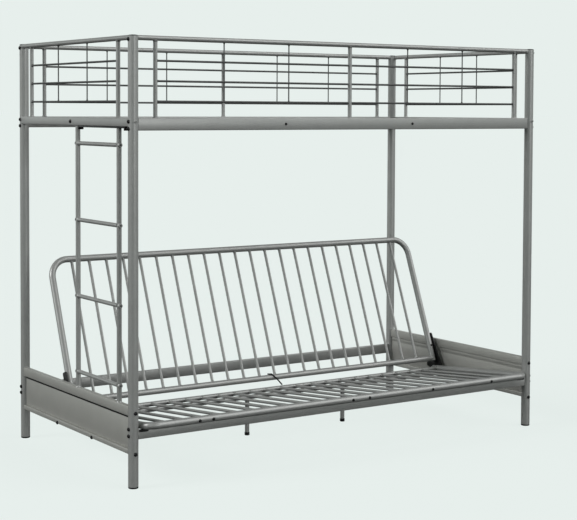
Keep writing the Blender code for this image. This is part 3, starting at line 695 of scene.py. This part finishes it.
for side, sign in ends.items():
    x = sign * end_panel_x
    # the panels' rails and sheets take the lighter copy of the coat, which is partly painted light
    for level, edge in panel_rail_edges.items():
        node = f"end_panel_{level}_rail_{side}"
        low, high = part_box(node)
        bm = bmesh.new()
        add_cross_block(bm, x - rail_half_depth, x + rail_half_depth, low.z, high.z, edge)
        add_piece(f"panel_{level}_rail_{side}", bm, panel_paint_with_painted_light, "bunk", node)
    low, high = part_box(f"end_panel_sheet_{side}")
    inner, step, outer = x - sign * inner_depth, x - sign * groove_depth, x - sign * outer_depth
    bm, shadow_strip = bmesh.new(), bmesh.new()
    add_cross_block(bm, inner, outer, low.z, high.z - groove_height, sheet_edge)
    add_cross_block(bm, inner, step, high.z - 2 * groove_height, high.z)
    sunk = sign * shadow_strip_sink
    # the black strip in the groove is painted shade for the shadow line under the top rail
    add_cross_block(shadow_strip, step - sunk, outer - sunk, high.z - groove_height, high.z, shadow_strip_edge, fine_segments)
    add_piece(f"panel_shadow_strip_{side}", shadow_strip, polypropylene, "bunk")
    add_piece(f"panel_sheet_{side}", bm, panel_paint_with_painted_light, "bunk", f"end_panel_sheet_{side}")

# %% [markdown]
# ## Step 15: the lower rails
# The front rail carries the front of the seat. Near each end it is notched for the seat's side tube,
# which slides on a plastic pad in the notch. Its outline with the notches is one face, extruded through
# its depth. The rear rail is plain, and the folded back rests on it. The pads and the tracks behind
# them already have the right shape in the CAD, so they stay and only get new finishes.

# %% Front rail with its notches, rear rail, pads and tracks
front_rail_edge = 0.0022
low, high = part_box("lower_rail_front")
pad_low, pad_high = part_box("seat_pad_right")
notch_in, notch_out, notch_floor = pad_low.x - clearance, pad_high.x + clearance, pad_low.z - clearance
rail_end = right_x - rail_reach
half_rail = [
    (rail_end, low.z), (rail_end, high.z), (notch_out, high.z), (notch_out, notch_floor),
    (notch_in, notch_floor), (notch_in, high.z),
]
outline = half_rail + [(-x, z) for x, z in reversed(half_rail)]
bm = bmesh.new()
add_plate(bm, [(x, front_y - rail_half_depth, z) for x, z in outline], (0, 2 * rail_half_depth, 0))
round_edges(bm, list(bm.edges), front_rail_edge)
add_piece("rail_lower_front", bm, tube_paint, "bunk", "lower_rail_front")
add_long_rail("rail_lower_rear", "rear", "lower_rail_rear")
for side in ends:
    for kind, paint in (("pad", polypropylene), ("track", tube_paint)):
        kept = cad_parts[f"seat_{kind}_{side}"]
        for material_slot in kept.material_slots:
            material_slot.material = paint
        print("kept node", kept.name, "with", paint.name)

# %% [markdown]
# ## Step 16: the seat and the back
# Both are the same kind of frame: a tube bent to a U, 28 mm for the seat and 27 mm for the back, a
# thinner tube across its open side, and 22 slats of 12 mm welded between them. The seat slopes down to
# the rear, and the back leans. The side tubes end open, a little past the cross tube.

# %% Seat frame and back frame
seat_tube_radius, seat_rear_radius, seat_bend = 0.0140, 0.0100, 0.045
back_tube_radius, back_bottom_radius, back_bend = 0.0135, 0.0125, 0.077
tube_end = 0.012
frame_tube_sides, bend_steps = 40, 14
slat_count, slat_end_gap = 22, 0.0979
first_slat_x = slat_end_gap - frame_side_x
slat_pitch = -first_slat_x * 2 / (slat_count - 1)


def add_slatted_frame(name, near, far, cross, radius, cross_radius, bend, tail, body, node):
    """A bent tube, a cross tube and slats. Near and far are the middles of the two runs along X, and
    the side tubes end a tail's length beyond the far one."""
    side = Vector((frame_side_x, 0, 0))
    bm = bmesh.new()
    end = far + cross * tail
    corners = [end - side, near - side, near + side, end + side]
    add_bent_tube(bm, corners, bend, radius, frame_tube_sides, bend_steps)
    add_welded_bar(bm, far - side, far + side, cross_radius, tube_sides, radius, radius)
    for index in range(slat_count):
        shift = Vector((first_slat_x + slat_pitch * index, 0, 0))
        add_welded_bar(bm, near + shift, far + shift, slat_radius, slat_sides, radius, cross_radius)
    add_piece(name, bm, tube_paint, body, node)


add_slatted_frame(
    "seat_grille", seat_front, seat_rear, tilt, seat_tube_radius, seat_rear_radius, seat_bend,
    hinge_behind_rear_tube + tube_end, "seat", "seat_frame",
)
add_slatted_frame(
    "back_grille", back_top, back_bottom, -lean, back_tube_radius, back_bottom_radius, back_bend,
    tube_end, "back", "back_frame",
)
print("slats every", round(slat_pitch * 1000, 1), "mm")

# %% [markdown]
# ## Step 17: under the seat
# A 19 mm tube under the slats carries two legs with black feet, which take the weight of people on the
# seat. The feet are turned cups.

# %% Support tube, legs and leg feet
leg_radius, support_trim = 0.0095, 0.006
low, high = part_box("seat_support_tube")
support = (low + high) / 2
bm = bmesh.new()
left_end, right_end = (low.x + support_trim, *support.yz), (high.x - support_trim, *support.yz)
add_bar(bm, left_end, right_end, leg_radius, tube_sides)
add_piece("support_tube", bm, tube_paint, "seat", "seat_support_tube")
cup_rings = [
    (0, 0), (0.0090, 0), (0.0104, 0.0006), (0.0108, 0.0018), (0.0108, 0.0132), (0.0102, 0.0140), (0, 0.0140),
]
for side in ends:
    low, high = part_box(f"seat_leg_{side}")
    x, y, _ = (low + high) / 2
    bm = bmesh.new()
    add_bar(bm, (x, y, low.z), (x, y, support.z), leg_radius, tube_sides)
    add_weld(bm, (x, y, support.z), (0, 0, -1), thick_weld_start, leg_radius, tube_sides)
    add_piece(f"leg_{side}", bm, tube_paint, "seat", f"seat_leg_{side}")
    bm = bmesh.new()
    add_turned(bm, (x, y, 0), cup_rings, tube_sides)
    add_piece(f"leg_cup_{side}", bm, polypropylene, "seat", f"seat_leg_foot_{side}")

# %% [markdown]
# ## Step 18: the hinge plates
# Each plate is laser cut from 4 mm steel: a heel behind the hinge pin and an arm up the back's side
# tube. Its outline is extruded to its thickness, a wide bevel on the edges along X rounds its corners,
# and a fine one breaks its sharp rim.

# %% Hinge plates
plate_toe, plate_margin, plate_heel, plate_heel_height = 0.030, 0.013, 0.078, 0.020
plate_arm_half_width, plate_arm_rise, knee_drop = 0.015, 0.157, 0.012
corner_radius, corner_segments, rim_edge = 0.006, 5, 0.0006
arm_side = -back_normal * plate_arm_half_width
arm_top = back_bottom + lean * ((plate_arm_rise - back_bottom_above_hinge) / cos(back_lean))
around_pin = [
    (-plate_toe, -plate_margin), (plate_margin, -plate_margin), (plate_heel, 0),
    (plate_heel, plate_heel_height),
]
plate_corners = [hinge + Vector((0, y, z)) for y, z in around_pin] + [
    back_bottom - lean * knee_drop + arm_side, arm_top + arm_side, arm_top - arm_side,
    hinge + Vector((0, -plate_toe, plate_margin)),
]


def width(edge):
    """How far an edge reaches along X."""
    return abs(edge.verts[0].co.x - edge.verts[1].co.x)


for side in ends:
    low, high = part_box(f"hinge_plate_{side}")
    thickness = high.x - low.x
    bm = bmesh.new()
    add_plate(bm, [(low.x, corner.y, corner.z) for corner in plate_corners], (thickness, 0, 0))
    corner_edges = [edge for edge in bm.edges if width(edge) > thickness / 2]
    round_edges(bm, corner_edges, corner_radius, corner_segments)
    rim = [edge for edge in bm.edges if width(edge) < thickness / 2 and edge.calc_face_angle(0) > 1]
    round_edges(bm, rim, rim_edge, fine_segments)
    add_piece(f"plate_{side}", bm, enamel, "back", f"hinge_plate_{side}")

# %% [markdown]
# ## Step 19: bolts
# The bed is put together with black furniture bolts: a low domed head with a hexagon socket. One head
# is made once and stamped wherever a bolt goes. It is a turned profile with 12 sides; the rings of the
# socket become a hexagon when every second point is drawn in to the middle of a side.

# %% One bolt head, and a way to stamp it
head_radius, head_height, socket_radius, head_sides = 0.0075, 0.0050, 0.0032, 12
head_rings = [
    (0, -0.0010), (head_radius, -0.0010), (head_radius, 0.0012), (head_radius * 0.90, 0.0032),
    (head_radius * 0.68, 0.0046), (socket_radius * 1.15, head_height), (socket_radius, head_height - 0.0002),
    (socket_radius, 0.0018), (0, 0.0012),
]
socket_zone, pole_zone = socket_radius * 1.3, 0.0001
bm = bmesh.new()
add_turned(bm, (0, 0, 0), head_rings, head_sides)
step = 2 * pi / head_sides
for point in bm.verts:
    reach = point.co.xy.length
    turn = Vector((1, 0)).angle_signed(point.co.xy) if reach > pole_zone else 0
    if round(turn / step) % 2 and reach < socket_zone:
        point.co.xy *= cos(step)
head_pattern = bpy.data.meshes.new("bolt_head_pattern")
bm.to_mesh(head_pattern)
bm.free()


def stamp(bm, place, direction, size=1.0):
    """Adds one bolt head at a place on a face, pointing out along a direction."""
    before = len(bm.verts)
    bm.from_mesh(head_pattern)
    bm.verts.ensure_lookup_table()
    bmesh.ops.transform(bm, matrix=stand(place, direction) @ Matrix.Scale(size, 4), verts=bm.verts[before:])


print("bolt head", len(head_pattern.polygons), "faces")

# %% [markdown]
# The bolts of the fixed frame go through the posts from outside: along X for the guards and the long
# rails, and along Y for the end panels. Others hold the deck supports, the middle of the upper end
# rails and the sheets of the end panels. At the upper rail, the head on the front or rear of each post
# is painted over.

# %% Bolts of the fixed frame
heights_along_x = (1.653, 1.353, 1.327, 0.221, 0.196)
heights_along_y = (0.281, 0.129)
painted_height, painted_size = 1.353, 0.8
deck_bolt_height, deck_bolt_size = 1.343, 0.75
sheet_bolt_places, sheet_bolt_height = (-0.155, 0.157), 0.1305
bolts, painted_bolts = bmesh.new(), bmesh.new()
for (row, side), middle in post_at.items():
    out_x, out_y = ends[side], rows[row]
    for height in heights_along_x:
        stamp(bolts, (middle.x + out_x * post_radius, middle.y, height), (out_x, 0, 0))
    for height in heights_along_y:
        stamp(bolts, (middle.x, middle.y + out_y * post_radius, height), (0, out_y, 0))
    place = (middle.x, middle.y + out_y * post_radius, painted_height)
    stamp(painted_bolts, place, (0, out_y, 0), painted_size)
for row, out_y in rows.items():
    y = post_at[row, "left"].y + out_y * rail_half_depth
    for side in ends:
        x = middle_of(f"deck_support_{side}").x
        stamp(bolts, (x, y, deck_bolt_height), (0, out_y, 0), deck_bolt_size)
end_rail_middle = (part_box("upper_end_rail_left")[0].z + upper_top) / 2
for sign in ends.values():
    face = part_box("upper_end_rail_right")[1].x * sign
    stamp(bolts, (face, (front_y + rear_y) / 2, end_rail_middle), (sign, 0, 0))
    for y in sheet_bolt_places:
        stamp(bolts, (sign * (end_panel_x + rail_half_depth), y, sheet_bolt_height), (sign, 0, 0))
add_piece("frame_bolts", bolts, enamel, "bunk")
add_piece("painted_bolts", painted_bolts, tube_paint, "bunk")

# %% [markdown]
# Six more heads sit on the front of the seat's front tube, and one low on the front of each side tube
# of the back. Each is sunk a little, because a tube is round and the underside of a head is flat.

# %% Bolts of the seat and the back
head_sink = 0.0002
seat_bolt_places, seat_bolt_size = (-0.729, -0.670, -0.015, 0.068, 0.399, 0.725), 0.8
seat_bolt_dip = radians(5)
back_bolt_rise, back_bolt_size = 0.060, 0.7
seat_bolts, back_bolts = bmesh.new(), bmesh.new()
out = Vector((0, -cos(seat_bolt_dip), -sin(seat_bolt_dip)))
for x in seat_bolt_places:
    place = seat_front + Vector((x, 0, 0)) + out * (seat_tube_radius - head_sink)
    stamp(seat_bolts, place, out, seat_bolt_size)
add_piece("seat_front_bolts", seat_bolts, enamel, "seat")
for sign in ends.values():
    axis_place = back_bottom + lean * back_bolt_rise + Vector((sign * frame_side_x, 0, 0))
    place = axis_place + back_normal * (back_tube_radius - head_sink)
    stamp(back_bolts, place, back_normal, back_bolt_size)
add_piece("back_front_bolts", back_bolts, enamel, "back")

# %% [markdown]
# The hinge works on two pins. Each has a domed head outside the glide and a nut with a washer inside
# the seat's side tube. A second bolt fixes the plate to the back's side tube and ends in it. The pin
# rides with the seat and the second bolt with the back, as their CAD nodes do.

# %% Bolts with nuts
pin_head_height, pin_head_size, pin_radius = 0.0035, 0.7, 0.0040
pin_head_rings = [
    (0, pin_head_height), (0.0030, 0.0034), (0.0058, 0.0026), (0.0073, 0.0010), (head_radius, 0), (0, 0),
]
nut_height, nut_radius, nut_sides, washer_height, washer_radius = 0.006, 0.0072, 6, 0.0012, 0.0085


def add_through_bolt(name, node, body, nut):
    """A bolt along X: a domed head outside, a shank, and where asked a washer and a hexagon nut."""
    low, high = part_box(node)
    sign = 1 if low.x > 0 else -1
    inner, outer = (low.x, high.x) if sign > 0 else (high.x, low.x)
    y, z = middle_of(node).yz
    head_face = outer - sign * pin_head_height
    bm = bmesh.new()
    stamp(bm, (head_face, y, z), (sign, 0, 0), pin_head_size)
    add_turned(bm, (head_face, y, z), pin_head_rings, tube_sides, (sign, 0, 0))
    add_bar(bm, (head_face, y, z), (inner, y, z), pin_radius, slat_sides)
    if nut:
        washer_face = inner + sign * nut_height
        nut_face = washer_face - sign * washer_height
        add_bar(bm, (washer_face, y, z), (nut_face, y, z), washer_radius, tube_sides)
        add_bar(bm, (nut_face, y, z), (inner, y, z), nut_radius, nut_sides)
    add_piece(name, bm, enamel, body, node)


print("pin heads rise", pin_head_height)

# %% [markdown]
# A nylon glide on each pin slides along the track on the end panel. It is a small block, turned to the
# slope of the seat.

# %% The bolts and the glide of each hinge
glide_half_length, glide_half_height, glide_edge = 0.014, 0.010, 0.0015
slope = Matrix.Translation(hinge) @ Matrix.Rotation(-seat_tilt, 4, "X")
for side in ends:
    add_through_bolt(f"pin_{side}", f"hinge_pin_{side}", "seat", True)
    add_through_bolt(f"plate_bolt_{side}", f"back_bolt_{side}", "back", False)
    low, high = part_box(f"seat_glide_{side}")
    bm = bmesh.new()
    corners = (low.x, -glide_half_length, -glide_half_height), (high.x, glide_half_length, glide_half_height)
    add_block(bm, *corners, glide_edge)
    bmesh.ops.transform(bm, matrix=slope, verts=bm.verts)
    add_piece(f"glide_{side}", bm, nylon, "seat", f"seat_glide_{side}")

# %% [markdown]
# ## Step 20: the wire between the back and the seat
# A bent 6 mm wire hooks over the back's lower tube near its middle, and runs down at a slant to the
# seat's rear tube. It is made like the bent tubes, with only a shallow dimple at each end.

# %% Wire
link_radius, link_bend, link_sides, link_steps = 0.003, 0.006, 16, 5
dimple_share, dimple_depth = 0.6, 0.0005
foot_out = 0.0125
hook_out = back_bottom_radius + link_radius
link_hook = back_bottom + Vector((0.008, 0, 0))
link_foot = seat_rear + Vector((0.053, 0, 0))
link_corners = [
    link_hook + Vector((-0.002, 0.004, 0)) + lean * hook_out,
    link_hook + Vector((0.008, 0, 0)) + (lean + back_normal) * hook_out * 0.80,
    link_hook + Vector((0.026, 0, 0)) + (back_normal - lean * 0.5) * hook_out,
    link_foot + seat_normal * foot_out,
]
bm = bmesh.new()
add_bent_tube(bm, link_corners, link_bend, link_radius, link_sides, link_steps, dimple_share, dimple_depth)
add_piece("wire_link", bm, enamel, "back", "centre_link")

# %% [markdown]
# ## Step 21: the studio
# The photograph shows the bed on a pale, slightly green ground with no horizon and hardly a shadow,
# yet the bed has clear tones, down to almost black undersides. So one soft sun lights it from the left
# end and a wide one from the front right, and little light comes back from below. A weak low sun from
# the front draws a thin highlight on posts and tubes. The world is a light tent: pale in a band at the
# horizon, where it is the backdrop, dark below it and grey above.

# %% World
backdrop = linear("#E7EFEC")[:3]
below, above = 0.01, 0.20  # brightness of the tent under and over its pale band
stops = [(0.0, below), (0.46, below), (0.495, 1.0), (0.575, 1.0), (0.675, above), (1.0, above)]
world = bpy.data.worlds.new("light_tent")
world.use_nodes = True
scene.world = world
scene.view_settings.view_transform = "Standard"
tree = world.node_tree
direction = add_node(tree, "ShaderNodeTexCoord", {}).outputs["Generated"]
height = add_node(tree, "ShaderNodeSeparateXYZ", {}, Vector=direction).outputs["Z"]
share = add_node(tree, "ShaderNodeMapRange", {"From Min": -1.0, "From Max": 1.0}, Value=height)
ramp = add_node(tree, "ShaderNodeValToRGB", {}, Fac=share.outputs[0])
while len(ramp.color_ramp.elements) < len(stops):
    ramp.color_ramp.elements.new(0.5)
for element, (place, level) in zip(ramp.color_ramp.elements, stops):
    element.position = place
    element.color = (*[channel * level for channel in backdrop], 1)
background = tree.nodes["Background"]
tree.links.new(ramp.outputs[0], background.inputs["Color"])
background.inputs["Strength"].default_value = 1.0
print("backdrop", [round(channel, 3) for channel in backdrop])


# %% Suns
def add_sun(name, azimuth, elevation, strength, spread):
    """A soft sun. Azimuth 0 shines from the front, and 90 from the right end of the bed. Returns what
    it sends straight down."""
    data = bpy.data.lights.new(name, "SUN")
    data.energy, data.angle = strength, radians(spread)
    sun = bpy.data.objects.new(name, data)
    turn, rise = radians(azimuth), radians(elevation)
    towards = Vector((sin(turn) * cos(rise), -cos(turn) * cos(rise), sin(rise)))
    sun.matrix_world = towards.to_track_quat("Z", "Y").to_matrix().to_4x4()
    scene.collection.objects.link(sun)
    return strength * sin(rise)


from_above = add_sun("soft_left", -100, 30, 1.8, 25)
from_above += add_sun("soft_right", 42, 38, 1.35, 50)
from_above += add_sun("low_strip", 8, 6, 0.30, 8)
print("light from above", round(from_above, 3))

# %% [markdown]
# The floor glows faintly by itself, so that it meets the backdrop without a seam and keeps only a
# breath of shadow, and it sends no light back up. Its glow is what the backdrop shows, less what the
# suns and the tent already light on it. The tent counts more the higher it is, because low light falls
# on a floor at a slant.

# %% Floor
floor_albedo, floor_radius, floor_drop, floor_sides = 0.10, 400, 0.0005, 64
samples = 200
heights = [(step + 0.5) / samples for step in range(samples)]
sky_share = sum(ramp.color_ramp.evaluate((1 + part) / 2)[1] * 2 * part for part in heights)
sky_share /= samples * backdrop[1]
lit = [floor_albedo * (channel * sky_share + from_above / pi) for channel in backdrop]
glow = [channel - part for channel, part in zip(backdrop, lit)]
floor_paint = finish("matte_studio_floor", {
    "Base Color": (*[floor_albedo] * 3, 1), "Roughness": 1.0, "Specular IOR Level": 0.0,
    "Emission Color": (*glow, 1), "Emission Strength": 1.0,
})[0]
bm = bmesh.new()
bmesh.ops.create_circle(
    bm, cap_ends=True, segments=floor_sides, radius=floor_radius,
    matrix=Matrix.Translation((0, 0, -floor_drop)),
)
mesh = bpy.data.meshes.new("floor")
bm.to_mesh(mesh)
bm.free()
mesh.materials.append(floor_paint)
floor = bpy.data.objects.new("floor", mesh)
floor.visible_diffuse = False
floor.visible_glossy = False
scene.collection.objects.link(floor)
print("floor glow", [round(part, 3) for part in glow], "sky share", round(sky_share, 3))
